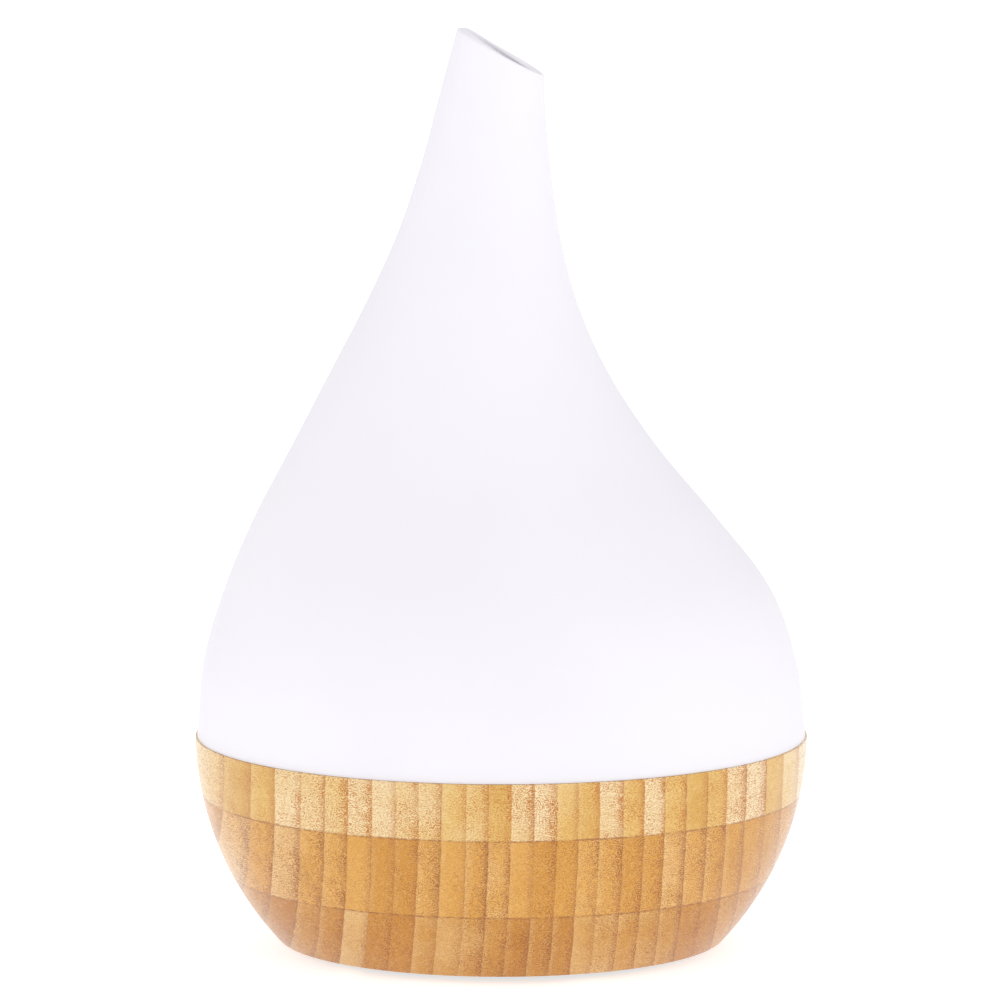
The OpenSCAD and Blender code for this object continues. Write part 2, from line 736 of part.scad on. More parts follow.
// Sleeve through the bowl's wall, with a thin flange that follows the bowl's surface
module dc_bezel() {
    trim_r = 7.6;
    trim_h = 0.7;
    color(dark) difference() {
        union() {
            intersection() {
                socket_bar(bezel_r, bezel_y, 20);
                translate([0, 0, ball_z]) sphere(r = bowl_r + 0.4);
            }
            difference() {
                intersection() {
                    socket_bar(trim_r, bezel_y, 20);
                    translate([0, 0, ball_z]) sphere(r = bowl_r + trim_h);
                }
                translate([0, 0, ball_z]) sphere(r = bowl_r + 0.05);
            }
        }
        socket_bar(bezel_bore_r, bezel_y - 1, 30);
    }
}

// ---------------------------------------------------------------- push buttons

// Cap with a rounded end, and a flange that keeps it behind the bowl's wall
module button_cap(side) {
    edge = 1;
    length = cap_end_y - cap_y;
    outline = concat(
        [[0, 0], [button_r + 0.7, 0], [button_r + 0.7, cap_flange_h], [button_r, cap_flange_h]],
        arc([button_r - edge, length - edge], edge, 0, 90, 5),
        [[0, length]]);
    color(white) translate([side * button_x, cap_y, button_z]) rotate([-90, 0, 0])
        rotate_extrude() polygon(outline);
}

module button_plunger(side) {
    color(dark) translate([side * button_x, plunger_y, button_z]) rotate([-90, 0, 0])
        cylinder(r = plunger_r, h = cap_y - plunger_y, $fn = 32);
}

module button_board() {
    color(board_green) difference() {
        translate([-switch_board_w / 2, switch_y, button_z - switch_board_height / 2])
            cube([switch_board_w, switch_board_h, switch_board_height]);
        for (side = [-1, 1]) translate([side * switch_screw_x, switch_y - 1, button_z])
            rotate([-90, 0, 0]) cylinder(r = 1.1, h = 4, $fn = 24);
    }
}

module button_switches() {
    switch_w = 6;
    color(steel) for (side = [-1, 1]) translate([side * button_x, 0, button_z]) difference() {
        translate([-switch_w / 2, switch_y + switch_board_h, -switch_w / 2])
            cube([switch_w, switch_body_h, switch_w]);
        translate([0, switch_face_y - switch_recess, 0]) rotate([-90, 0, 0])
            cylinder(r = plunger_r + 0.3, h = 5, $fn = 32);
    }
}

module button_screws() {
    color(steel) for (side = [-1, 1])
        translate([side * switch_screw_x, switch_y + switch_board_h, button_z])
        rotate([-90, 0, 0]) screw(0.85, 3.6, 1.6, 1);
}

// ---------------------------------------------------------------- internal leads

module fan_lead() { color(dark) sweep_tube(fan_lead_path, lead_r); }
module transducer_lead() { color("firebrick") sweep_tube(transducer_lead_path, lead_r); }
module led_lead() { color("white") sweep_tube(led_lead_path, lead_r); }
module power_lead() { color(dark) sweep_tube(power_lead_path, lead_r); }
module button_lead() { color("white") sweep_tube(button_lead_path, lead_r); }

// ---------------------------------------------------------------- the nodes

cover();
cover_seat_ring();
mist_guide();
bamboo_bowl();
water_tank();
tank_seal();
transducer_disc();
transducer_seal();
transducer_retainer();
transducer_screws();
led_board();
led_chips();
led_screws();
main_board();
board_screws();
controller_chip();
inductor();
capacitors();
power_transistor();
heat_sink();
wire_headers();
fan_frame();
fan_bearing();
fan_stator();
fan_rotor();
fan_shaft();
fan_magnet();
fan_duct();
fan_screws();
base_plate();
base_screws();
foot(1);  // foot_1
foot(2);  // foot_2
foot(3);  // foot_3
foot(4);  // foot_4
dc_jack();
dc_pin();
dc_bezel();
button_cap(1);  // mist_button
button_cap(-1);  // light_button
button_plunger(1);  // mist_plunger
button_plunger(-1);  // light_plunger
button_board();
button_switches();
button_screws();
fan_lead();
transducer_lead();
led_lead();
power_lead();
button_lead();
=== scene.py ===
"""Looks of the cool mist humidifier: a white teardrop cover on a turned bowl of laminated bamboo."""
import json
import math

import bmesh
import bpy
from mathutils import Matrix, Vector


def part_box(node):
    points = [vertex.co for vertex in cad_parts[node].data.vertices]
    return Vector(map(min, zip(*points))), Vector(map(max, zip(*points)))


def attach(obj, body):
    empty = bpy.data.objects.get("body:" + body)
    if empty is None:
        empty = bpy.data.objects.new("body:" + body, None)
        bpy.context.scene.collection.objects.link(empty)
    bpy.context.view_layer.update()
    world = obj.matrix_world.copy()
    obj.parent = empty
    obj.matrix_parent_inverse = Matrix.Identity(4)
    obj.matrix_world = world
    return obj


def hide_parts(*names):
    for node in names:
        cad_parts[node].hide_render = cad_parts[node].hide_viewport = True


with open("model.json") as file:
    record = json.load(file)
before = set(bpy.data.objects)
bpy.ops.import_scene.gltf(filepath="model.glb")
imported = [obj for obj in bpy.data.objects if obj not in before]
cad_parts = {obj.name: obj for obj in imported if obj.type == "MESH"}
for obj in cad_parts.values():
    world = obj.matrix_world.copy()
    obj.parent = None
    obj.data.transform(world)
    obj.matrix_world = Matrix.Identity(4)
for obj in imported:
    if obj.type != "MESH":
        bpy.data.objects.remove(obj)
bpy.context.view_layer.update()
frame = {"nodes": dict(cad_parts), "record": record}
MM = 0.001

# ------------------------------------------------------------------ sizes, in millimetres

# Bowl, as in part.scad: a ball cut off at the foot and at the rim
FOOT_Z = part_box("bamboo_bowl")[0].z / MM
RIM_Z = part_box("bamboo_bowl")[1].z / MM
BALL_R = 72.5
BALL_Z = RIM_Z + 1.2        # height of the ball's centre
WALL = 6.0
LEDGE_Z = FOOT_Z + 6        # top of the ledge that the base plate is screwed to
LEDGE_R = 42.0
PLATE_SEAT_R = 47.5         # recess for the base plate
PLATE_TOP_Z = FOOT_Z + 3
RIM_SEAT_R = 69.5           # recess for the tank's flange
RIM_SEAT_Z = RIM_Z - 2.5
SOCKET_Z = 18.0
SOCKET_HOLE_R = 6.5
BUTTON_X = 10.0
BUTTON_Z = 34.0
BUTTON_HOLE_R = 4.2
BUTTON_SINK = 0.5           # widening of a button's hole at the surface

# Laminated bamboo
STRIP_W = 5.2           # thickness of one strip
STRIP_TURN = 6.0        # degrees that the strips are turned about Z
LAYER_LOW_Z = 17.9      # glue line between the bottom and middle layers
LAYER_HIGH_Z = 37.0     # glue line between the middle and top layers

# Cover, as in part.scad: radii and leans at evenly spaced heights
COVER_RADII = [72, 70.2, 64.7, 54.7, 43.2, 33.2, 25, 19, 15, 12.1, 10]
COVER_LEANS = [0, -0.3, -0.9, -3.8, -6.4, -7.6, -7, -5.3, -3.6, -2, 0.5]
COVER_STEP = 17.0
COVER_WALL = 2.5
MOUTH_H = 162.0
MOUTH_TILT = 28.0
COVER_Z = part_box("cover")[0].z / MM


# ------------------------------------------------------------------ colour

def linear(value):
    """One sRGB channel, 0 to 255, as linear light."""
    v = value / 255
    return v / 12.92 if v <= 0.04045 else ((v + 0.055) / 1.055) ** 2.4


def rgb(red, green, blue):
    return (linear(red), linear(green), linear(blue), 1.0)


# ------------------------------------------------------------------ node trees

class Graph:
    """Builds a material's node tree with short calls."""

    def __init__(self, name):
        self.material = bpy.data.materials.new(name)
        self.material.use_nodes = True
        self.tree = self.material.node_tree
        self.shader = self.tree.nodes["Principled BSDF"]

    def set(self, **values):
        """Sets the shader's own sockets, with _ for spaces."""
        for name, value in values.items():
            self.feed(self.shader.inputs[name.replace("_", " ")], value)

    def feed(self, socket, value):
        """Links a node's output to a socket, or sets the socket to a constant."""
        if isinstance(value, bpy.types.NodeSocket):
            self.tree.links.new(value, socket)
        else:
            socket.default_value = value

    def node(self, kind, inputs=(), output=0, **settings):
        """Adds a node and returns one of its outputs."""
        made = self.tree.nodes.new(kind)
        for key, value in settings.items():
            setattr(made, key, value)
        for name, value in dict(inputs).items():
            self.feed(made.inputs[name], value)
        return made.outputs[output]

    def math(self, operation, a, b=0.0, c=0.0, clamp=False):
        return self.node("ShaderNodeMath", {0: a, 1: b, 2: c}, operation=operation, use_clamp=clamp)

    def times(self, a, b, clamp=False):
        return self.math("MULTIPLY", a, b, clamp=clamp)

    def plus(self, a, b):
        return self.math("ADD", a, b)

    def minus(self, a, b):
        return self.math("SUBTRACT", a, b)

    def place(self, scale=(1, 1, 1), turn=0.0):
        """Object coordinates in millimetres, turned about Z and then scaled."""
        here = self.node("ShaderNodeTexCoord", output="Object")
        turned = self.node("ShaderNodeVectorRotate", {"Vector": here, "Angle": math.radians(-turn)},
                           rotation_type="Z_AXIS")
        factors = [s / MM for s in scale]
        return self.node("ShaderNodeVectorMath", {0: turned, 1: factors}, operation="MULTIPLY")

    def noise(self, vector, scale, detail=2.0, roughness=0.5, distortion=0.0):
        """Noise from 0 to 1. For a vector in millimetres the scale is in cycles per millimetre."""
        return self.node("ShaderNodeTexNoise", {"Vector": vector, "Scale": scale, "Detail": detail,
                                                "Roughness": roughness, "Distortion": distortion})

    def random(self, vector):
        """A random number for each whole-numbered vector."""
        return self.node("ShaderNodeTexWhiteNoise", {"Vector": vector}, noise_dimensions="3D")

    def combine(self, x=0.0, y=0.0, z=0.0):
        return self.node("ShaderNodeCombineXYZ", {"X": x, "Y": y, "Z": z})

    def band(self, value, low, high, to_low=0.0, to_high=1.0):
        """Smooth step: to_low below low, to_high above high."""
        return self.node("ShaderNodeMapRange", {"Value": value, "From Min": low, "From Max": high,
                                                "To Min": to_low, "To Max": to_high},
                         interpolation_type="SMOOTHSTEP")

    def ramp(self, value, stops):
        """Colour ramp through (position, colour) stops."""
        made = self.tree.nodes.new("ShaderNodeValToRGB")
        points = made.color_ramp.elements
        while len(points) < len(stops):
            points.new(0.5)
        for point, (position, colour) in zip(points, stops):
            point.position = position
            point.color = colour
        self.feed(made.inputs["Fac"], value)
        return made.outputs["Color"]

    def mix(self, factor, a, b):
        """Colour a where the factor is 0 and b where it is 1."""
        made = self.tree.nodes.new("ShaderNodeMix")
        made.data_type = "RGBA"
        self.feed(made.inputs["Factor"], factor)
        self.feed(made.inputs["A"], a)
        self.feed(made.inputs["B"], b)
        return made.outputs["Result"]

    def bump(self, height, depth, strength=1.0):
        """Feeds the shader's normal from a height of 0 to 1, depth in millimetres."""
        normal = self.node("ShaderNodeBump", {"Height": height, "Distance": depth * MM,
                                              "Strength": strength})
        self.feed(self.shader.inputs["Normal"], normal)


def plastic(name, colour, second, rough=0.45, grain=0.4, grain_depth=0.01, specular=0.5, **extra):
    """Moulded plastic: faint clouding between two colours, and a fine spark-eroded grain."""
    g = Graph(name)
    here = g.place()
    cloud = g.noise(here, 0.06, detail=3.0)
    fine = g.noise(here, 1 / grain, detail=3.0, roughness=0.6)
    shade = g.mix(g.band(cloud, 0.3, 0.7), colour, second)
    roughness = g.band(fine, 0.2, 0.8, rough - 0.06, rough + 0.06)
    g.set(Base_Color=shade, Roughness=roughness, Specular_IOR_Level=specular, **extra)
    g.bump(fine, grain_depth)
    return g.material


def metal(name, colour, rough=0.3, streak=(1, 1, 0.05), **extra):
    """Bare metal with fine drawing marks and dull patches."""
    g = Graph(name)
    marks = g.noise(g.place(streak), 6.0, detail=3.0, roughness=0.7)
    patches = g.noise(g.place(), 0.35, detail=2.0)
    worn = tuple(0.72 * c for c in colour[:3]) + (1.0,)
    g.set(Base_Color=g.mix(g.band(patches, 0.45, 0.8), colour, worn), Metallic=1.0,
          Roughness=g.band(marks, 0.2, 0.8, rough - 0.08, rough + 0.12), **extra)
    g.bump(marks, 0.006)
    return g.material


# ------------------------------------------------------------------ materials

def bamboo():
    """Solid laminated bamboo: strips with fibres along V, in three glued layers.

    U runs across the strips and V along them, so that the front and back show end grain
    and the sides show long fibres.
    """
    g = Graph("laminated_bamboo")
    here = g.place(turn=STRIP_TURN)
    split = g.tree.nodes.new("ShaderNodeSeparateXYZ")
    g.feed(split.inputs[0], here)
    u, v, w = split.outputs

    # Glue lines wander by up to a quarter of a millimetre
    wander = g.times(g.minus(g.noise(here, 0.12), 0.5), 0.5)
    layer_w = g.plus(w, wander)
    above_low = g.math("GREATER_THAN", layer_w, LAYER_LOW_Z)
    above_high = g.math("GREATER_THAN", layer_w, LAYER_HIGH_Z)
    layer = g.plus(above_low, above_high)

    # Strips vary in thickness. t is the place across one, from 0 at its pale inner face to 1 at its skin
    uneven = g.times(g.minus(g.noise(g.combine(u), 0.11, detail=0.0), 0.5), 1.4)
    across = g.math("DIVIDE", g.plus(g.plus(u, uneven), wander), STRIP_W)
    strip = g.math("FLOOR", across)
    t = g.math("FRACT", across)

    def per_strip(seed):
        """A random number that is the same all over a strip."""
        return g.random(g.combine(strip, layer, seed))

    tone = per_strip(3.7)
    other = per_strip(11.3)
    third = per_strip(23.9)

    # Base colour of each strip
    drift = g.noise(g.combine(g.times(u, 0.8), g.times(v, 0.05), w), 0.11, detail=2.0)
    light = g.plus(g.times(tone, 0.72), g.times(drift, 0.5))
    top = g.ramp(light, [(0.18, rgb(201, 156, 72)), (0.42, rgb(214, 175, 98)),
                         (0.66, rgb(220, 190, 130)), (0.95, rgb(228, 207, 166))])
    middle = g.ramp(light, [(0.15, rgb(193, 133, 42)), (0.45, rgb(206, 149, 60)),
                            (0.75, rgb(212, 159, 78)), (0.98, rgb(218, 176, 114))])
    bottom = g.ramp(light, [(0.15, rgb(174, 111, 24)), (0.42, rgb(188, 127, 38)),
                            (0.72, rgb(197, 141, 58)), (0.98, rgb(212, 170, 108))])
    base = g.mix(above_high, g.mix(above_low, bottom, middle), top)

    # The strip darkens towards its skin, and is palest at its inner face
    skin_brown = rgb(186, 124, 62)
    rind_brown = rgb(164, 102, 44)
    inner_pale = rgb(250, 226, 178)
    skin = g.band(t, g.math("MULTIPLY_ADD", other, 0.3, 0.3), 1.08)
    base = g.mix(g.times(skin, g.times(other, 0.2)), base, skin_brown)
    rind = g.band(t, 0.72, 1.0)
    base = g.mix(g.times(rind, g.math("MULTIPLY_ADD", third, 0.16, 0.08)), base, rind_brown)
    pale = g.band(t, 0.0, 0.4, 1.0, 0.0)
    base = g.mix(g.times(pale, g.times(third, 0.16)), base, inner_pale)

    # Fibre bundles: crooked marks and dots on end grain, streaks along the strip
    gleam_pale = rgb(252, 228, 172)
    along = g.times(v, 0.03)
    warped = g.node("ShaderNodeVectorMath", {
        0: g.combine(u, along, w),
        1: g.node("ShaderNodeTexNoise", {"Vector": here, "Scale": 0.9, "Detail": 1.0}, output="Color")},
        operation="ADD")
    worms = g.node("ShaderNodeTexGabor", {"Vector": warped, "Scale": 0.86, "Frequency": 2.6,
                                          "Anisotropy": 0.0}, gabor_type="3D", output="Value")
    dots = g.node("ShaderNodeTexVoronoi", {"Vector": warped, "Scale": 1.7, "Randomness": 1.0},
                  feature="F1", output="Distance")
    fleck = g.noise(warped, 1.7, detail=2.0, roughness=0.6, distortion=0.6)
    crowd = g.math("MULTIPLY_ADD", skin, 0.14, g.times(third, 0.06))
    dot = g.band(g.minus(dots, crowd), 0.14, 0.34, 1.0, 0.0)
    worm = g.band(g.plus(worms, g.times(crowd, 0.5)), 0.5, 0.64)
    fibre = g.math("MAXIMUM", g.times(dot, 0.75), worm)
    clear = g.band(per_strip(71.9), 0.0, 0.4, 0.6, 1.0)
    depth = g.math("MULTIPLY_ADD", above_high, 0.14, g.math("MULTIPLY_ADD", skin, 0.24, 0.64))
    patchy = g.band(g.noise(here, 0.16), 0.3, 0.65, 0.7, 1.15)
    strength = g.times(g.times(depth, clear), patchy)
    dark = g.mix(above_high, rgb(146, 82, 24), rgb(178, 108, 22))
    base = g.mix(g.times(fibre, strength, clamp=True), base, dark)
    gleam = g.band(fleck, 0.5, 0.32)
    base = g.mix(g.times(gleam, 0.1), base, gleam_pale)

    # Knuckles of the cane, which show where a strip's flank is cut
    knuckle_brown = rgb(150, 96, 48)
    spread = 260.0      # knuckles lie anywhere along a cane of this length
    knuckle_v = g.times(g.minus(per_strip(41.1), 0.5), spread)
    from_knuckle = g.math("ABSOLUTE", g.minus(v, knuckle_v))
    knuckle = g.band(from_knuckle, 0.4, 2.2, 1.0, 0.0)
    base = g.mix(g.times(knuckle, 0.16), base, knuckle_brown)

    # Glue lines between strips and between layers, broken up so that none is an even line
    glue_brown = rgb(142, 84, 40)
    edge = g.math("MINIMUM", t, g.minus(1.0, t))
    between = g.band(g.times(edge, STRIP_W), 0.05, 0.24, 1.0, 0.0)
    side = g.math("ROUND", across)
    bond = g.band(g.random(g.combine(side, layer, 57.7)), 0.35, 1.0, 0.06, 0.62)
    broken = g.band(g.noise(warped, 0.9, detail=1.0), 0.38, 0.6, 0.3, 1.0)
    low = g.math("ABSOLUTE", g.minus(layer_w, LAYER_LOW_Z))
    high = g.math("ABSOLUTE", g.minus(layer_w, LAYER_HIGH_Z))
    course = g.band(g.math("MINIMUM", low, high), 0.08, 0.36, 1.0, 0.0)
    seam = g.math("MAXIMUM", g.times(between, bond), g.times(course, 0.7))
    seam = g.times(seam, broken)
    base = g.mix(seam, base, glue_brown)

    g.set(Base_Color=base, Roughness=g.band(fleck, 0.3, 0.7, 0.34, 0.5), Specular_IOR_Level=0.15,
          Coat_Weight=0.65, Coat_Roughness=0.2, Coat_IOR=1.5)
    relief = g.plus(g.times(fibre, -0.35), g.times(seam, -1.0))
    g.bump(relief, 0.03, strength=0.5)
    return g.material


def cover_white():
    """Fine matte moulding with a faint orange peel."""
    g = Graph("matte_white_cover")
    here = g.place()
    cloud = g.noise(here, 0.02, detail=2.0)
    grain = g.noise(here, 2.2, detail=3.0, roughness=0.65)
    peel = g.noise(here, 0.35, detail=1.0)
    shade = g.mix(g.band(cloud, 0.3, 0.7), rgb(231, 228, 234), rgb(229, 227, 233))
    g.set(Base_Color=shade, Roughness=g.band(grain, 0.25, 0.75, 0.5, 0.62), Specular_IOR_Level=0.35,
          Subsurface_Weight=0.12, Subsurface_Radius=(1.0, 0.9, 0.95), Subsurface_Scale=0.004)
    g.bump(g.plus(grain, g.times(peel, 0.6)), 0.008, strength=0.6)
    return g.material


def milky(name):
    """Translucent polypropylene."""
    return plastic(name, rgb(232, 234, 238), rgb(224, 228, 234), rough=0.38, grain=0.8, grain_depth=0.008,
                   Subsurface_Weight=0.35, Subsurface_Scale=0.006, Subsurface_Radius=(1.0, 1.0, 1.0))


def circuit_board(name, mask, dark):
    """Solder mask over faint copper tracks."""
    g = Graph(name)
    here = g.place((1, 1, 0.2))
    tracks = g.node("ShaderNodeTexVoronoi", {"Vector": here, "Scale": 0.32, "Randomness": 0.7},
                    feature="F1", distance="MANHATTAN", output="Distance")
    line = g.band(g.math("ABSOLUTE", g.minus(g.math("FRACT", g.times(tracks, 3.0)),
                                            0.5)), 0.18, 0.26)
    g.set(Base_Color=g.mix(line, mask, dark), Roughness=0.32, Coat_Weight=0.4, Coat_Roughness=0.2)
    g.bump(line, 0.03)
    return g.material


def wound_copper(name):
    """Enamelled wire in close turns."""
    g = Graph(name)
    turns = g.node("ShaderNodeTexWave", {"Vector": g.place(), "Scale": 1.6, "Distortion": 0.6},
                   wave_type="BANDS", bands_direction="Z", output="Fac")
    g.set(Base_Color=g.mix(turns, rgb(120, 56, 24), rgb(206, 118, 62)), Metallic=0.9, Roughness=0.32)
    g.bump(turns, 0.08)
    return g.material


MATERIALS = {
    "cover_white": cover_white(),
    "bamboo": bamboo(),
    "milky_plastic": milky("milky_polypropylene"),
    "white_plastic": plastic("satin_white_plastic", rgb(238, 238, 240), rgb(232, 232, 236), rough=0.36),
    "black_plastic": plastic("black_plastic", rgb(38, 38, 41), rgb(30, 30, 33), rough=0.5, grain=0.5,
                             grain_depth=0.02),
    "silicone": plastic("white_silicone", rgb(226, 222, 232), rgb(216, 213, 224), rough=0.5,
                        Subsurface_Weight=0.3, Subsurface_Scale=0.002),
    "rubber": plastic("dark_rubber", rgb(46, 46, 47), rgb(36, 36, 38), rough=0.78, grain=0.6,
                      grain_depth=0.03, specular=0.3),
    "steel": metal("zinc_plated_steel", rgb(196, 196, 200), rough=0.3),
    "nickel_plate": metal("nickel_plate", rgb(214, 208, 196), rough=0.18),
    "bronze": metal("sintered_bronze", rgb(176, 128, 72), rough=0.45, streak=(1, 1, 1)),
    "copper_winding": wound_copper("copper_winding"),
    "aluminium": metal("extruded_aluminium", rgb(206, 207, 210), rough=0.34, streak=(1, 1, 0.1)),
    "ferrite": plastic("dark_ferrite", rgb(62, 60, 60), rgb(48, 47, 48), rough=0.6, grain=0.3,
                       grain_depth=0.04),
    "ceramic_disc": metal("silvered_ceramic", rgb(206, 204, 198), rough=0.22, streak=(1, 1, 1)),
    "green_board": circuit_board("green_board", rgb(22, 92, 52), rgb(40, 122, 70)),
    "white_board": circuit_board("white_board", rgb(236, 236, 232), rgb(222, 222, 220)),
    "led_resin": plastic("phosphor_resin", rgb(246, 226, 120), rgb(240, 214, 96), rough=0.2, grain=1.0,
                         Coat_Weight=0.6, Coat_Roughness=0.1),
    "cream_nylon": plastic("cream_nylon", rgb(236, 230, 208), rgb(228, 220, 196), rough=0.45),
    "capacitor_sleeve": plastic("capacitor_sleeve", rgb(28, 38, 92), rgb(22, 30, 78), rough=0.25,
                                grain=1.2, Coat_Weight=0.5, Coat_Roughness=0.15),
    "wire_black": plastic("black_wire", rgb(34, 34, 36), rgb(26, 26, 28), rough=0.42, grain=0.5),
    "wire_red": plastic("red_wire", rgb(168, 34, 30), rgb(148, 26, 24), rough=0.42, grain=0.5),
    "wire_white": plastic("white_wire", rgb(232, 232, 228), rgb(220, 220, 216), rough=0.42, grain=0.5),
}


# ------------------------------------------------------------------ meshes

def piece(name, mesh, slot, body, *nodes, sharp=32.0):
    """Adds a mesh, in millimetres, as a piece that stands for CAD nodes and rides on a body."""
    for vertex in mesh.vertices:
        vertex.co *= MM
    obj = bpy.data.objects.new(name, mesh)
    bpy.context.scene.collection.objects.link(obj)
    finish_mesh(obj, slot, sharp)
    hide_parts(*nodes)
    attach(obj, body)
    return obj


def finish_mesh(obj, slot, sharp):
    """Gives a mesh its material, and smooth shading but for edges over sharp degrees."""
    mesh = obj.data
    mesh.materials.clear()
    mesh.materials.append(MATERIALS[slot])
    mesh.shade_smooth()
    mesh.set_sharp_from_angle(angle=math.radians(sharp))


def mesh_of_rings(name, rings, closed):
    """Joins rings of equal length with quads. A closed mesh joins its last ring to its first."""
    count = len(rings[0])
    last = len(rings) if closed else len(rings) - 1
    faces = []
    for j in range(last):
        low = j * count
        high = (j + 1) % len(rings) * count
        for k in range(count):
            m = (k + 1) % count
            faces.append((low + k, low + m, high + m, high + k))
    mesh = bpy.data.meshes.new(name)
    mesh.from_pydata([p for ring in rings for p in ring], [], faces)
    mesh.update()
    return mesh


def turned(name, outline, segments, closed=True):
    """Turns an outline of (radius, height) about Z. Points on the axis become one vertex."""
    rings = []
    for radius, height in outline:
        rings.append([(radius * math.cos(a), radius * math.sin(a), height)
                      for a in (2 * math.pi * k / segments for k in range(segments))])
    mesh = mesh_of_rings(name, rings, closed)
    shape = bmesh.new()
    shape.from_mesh(mesh)
    bmesh.ops.remove_doubles(shape, verts=shape.verts, dist=1e-4)
    bmesh.ops.recalc_face_normals(shape, faces=shape.faces)
    shape.to_mesh(mesh)
    shape.free()
    return mesh


def arc(centre, radius, start, end, steps):
    """Points (radius, height) along an arc, angles in degrees."""
    points = []
    for i in range(steps + 1):
        a = math.radians(start + (end - start) * i / steps)
        points.append((centre[0] + radius * math.cos(a), centre[1] + radius * math.sin(a)))
    return points


# ------------------------------------------------------------------ cover

def tangent(values, i):
    """Slope of the smooth curve at value i, per step."""
    if i == 0:
        return values[1] - values[0]
    if i == len(values) - 1:
        return values[i] - values[i - 1]
    return (values[i + 1] - values[i - 1]) / 2


def curve_at(values, t):
    """Smooth curve through evenly spaced values, at t steps from the first."""
    i = max(0, min(len(values) - 2, math.floor(t)))
    x = t - i
    return (values[i] * (2 * x**3 - 3 * x**2 + 1) + tangent(values, i) * (x**3 - 2 * x**2 + x)
            + values[i + 1] * (3 * x**2 - 2 * x**3) + tangent(values, i + 1) * (x**3 - x**2))


def cover_r(h):
    return curve_at(COVER_RADII, h / COVER_STEP)


def cover_lean(h):
    return curve_at(COVER_LEANS, h / COVER_STEP)


def slanted(h, a):
    """Height at angle a of the ring whose middle is at height h; the rings slant near the mouth."""
    slope = math.tan(math.radians(MOUTH_TILT)) * max(0.0, h / MOUTH_H * 1.5 - 0.5) ** 2
    g = h
    for _ in range(4):
        g = h - slope * (cover_lean(g) - cover_lean(h) + cover_r(g) * math.cos(a))
    return g


def cover_ring(h, inset, segments):
    """Points of the cover's slanted ring at height h, inset from the outer skin."""
    ring = []
    for k in range(segments):
        a = 2 * math.pi * k / segments
        g = slanted(h, a)
        steep = cover_r(g + 0.5) - cover_r(g - 0.5)
        r = cover_r(g) - inset * math.sqrt(1 + steep**2)
        ring.append((cover_lean(g) + r * math.cos(a), r * math.sin(a), COVER_Z + g))
    return ring


def make_cover():
    """The teardrop shell, with a bead round its foot that narrows the seam over the seat ring."""
    foot = 0.08         # rounding of the foot's outer edge
    bead = 0.58         # the foot's outer edge reaches this far down past the seat ring
    bead_w = 0.6
    lip = 0.6           # rounding of the mouth's edges
    segments = 168
    outer_rings = 130
    inner_rings = 80
    quarter = [math.radians(d) for d in range(0, 91, 18)]
    # Each point is a ring's height and its depth below the outer skin
    path = [(0.0, bead_w + 0.1), (0.1 - bead, bead_w), (-bead, bead_w - 0.1)]
    path += [(p[1] - bead, p[0]) for p in arc((foot, foot), foot, 270, 180, 6)]
    path += [(foot - bead + (MOUTH_H - lip - foot + bead) * i / outer_rings, 0.0)
             for i in range(1, outer_rings)]
    path += [(MOUTH_H - lip + lip * math.sin(a), lip - lip * math.cos(a)) for a in quarter]
    path += [(MOUTH_H - lip + lip * math.cos(a), COVER_WALL - lip + lip * math.sin(a)) for a in quarter]
    path += [((MOUTH_H - lip) * (1 - i / inner_rings), COVER_WALL) for i in range(1, inner_rings)]
    path += [(0.4, COVER_WALL), (0.12, COVER_WALL - 0.12), (0.0, COVER_WALL - 0.4)]
    rings = [cover_ring(h, inset, segments) for h, inset in path]
    mesh = mesh_of_rings("cover_shell", rings, closed=True)
    piece("cover_shell", mesh, "cover_white", "cover", "cover", sharp=50.0)


# ------------------------------------------------------------------ bowl

def ball_r(radius, z):
    """Radius at height z of a ball about the bowl's centre."""
    return math.sqrt(radius**2 - (BALL_Z - z) ** 2)


def ball_arc(radius, z0, z1, steps):
    """Points of a ball's outline between two heights, evenly spaced in angle."""
    start = math.degrees(math.asin((z0 - BALL_Z) / radius))
    end = math.degrees(math.asin((z1 - BALL_Z) / radius))
    return arc((0.0, BALL_Z), radius, start, end, steps)


def drill(obj, x, z, radius, sink):
    """Cuts a hole along +Y through the back of the bowl, with a small countersink outside."""
    surface = math.sqrt(BALL_R**2 - x**2 - (BALL_Z - z) ** 2)
    start, end = 50.0, 80.0     # well inside and well outside the wall
    sink_start = surface - 1.2
    sink_end = surface + 2.5
    outline = [(0.0, start), (radius, start), (radius, sink_start), (radius + sink, sink_end),
               (radius + sink, end), (0.0, end)]
    tool = bpy.data.objects.new("drill", turned("drill", outline, 72, closed=False))
    bpy.context.scene.collection.objects.link(tool)
    for vertex in tool.data.vertices:
        across, up, along = vertex.co
        vertex.co = Vector((x + across, along, z - up)) * MM
    cut = obj.modifiers.new("cut", "BOOLEAN")
    cut.operation = "DIFFERENCE"
    cut.solver = "EXACT"
    cut.object = tool
    bpy.context.view_layer.update()
    cutout = bpy.data.meshes.new_from_object(obj.evaluated_get(bpy.context.evaluated_depsgraph_get()))
    obj.modifiers.remove(cut)
    obj.data = cutout
    bpy.data.objects.remove(tool)


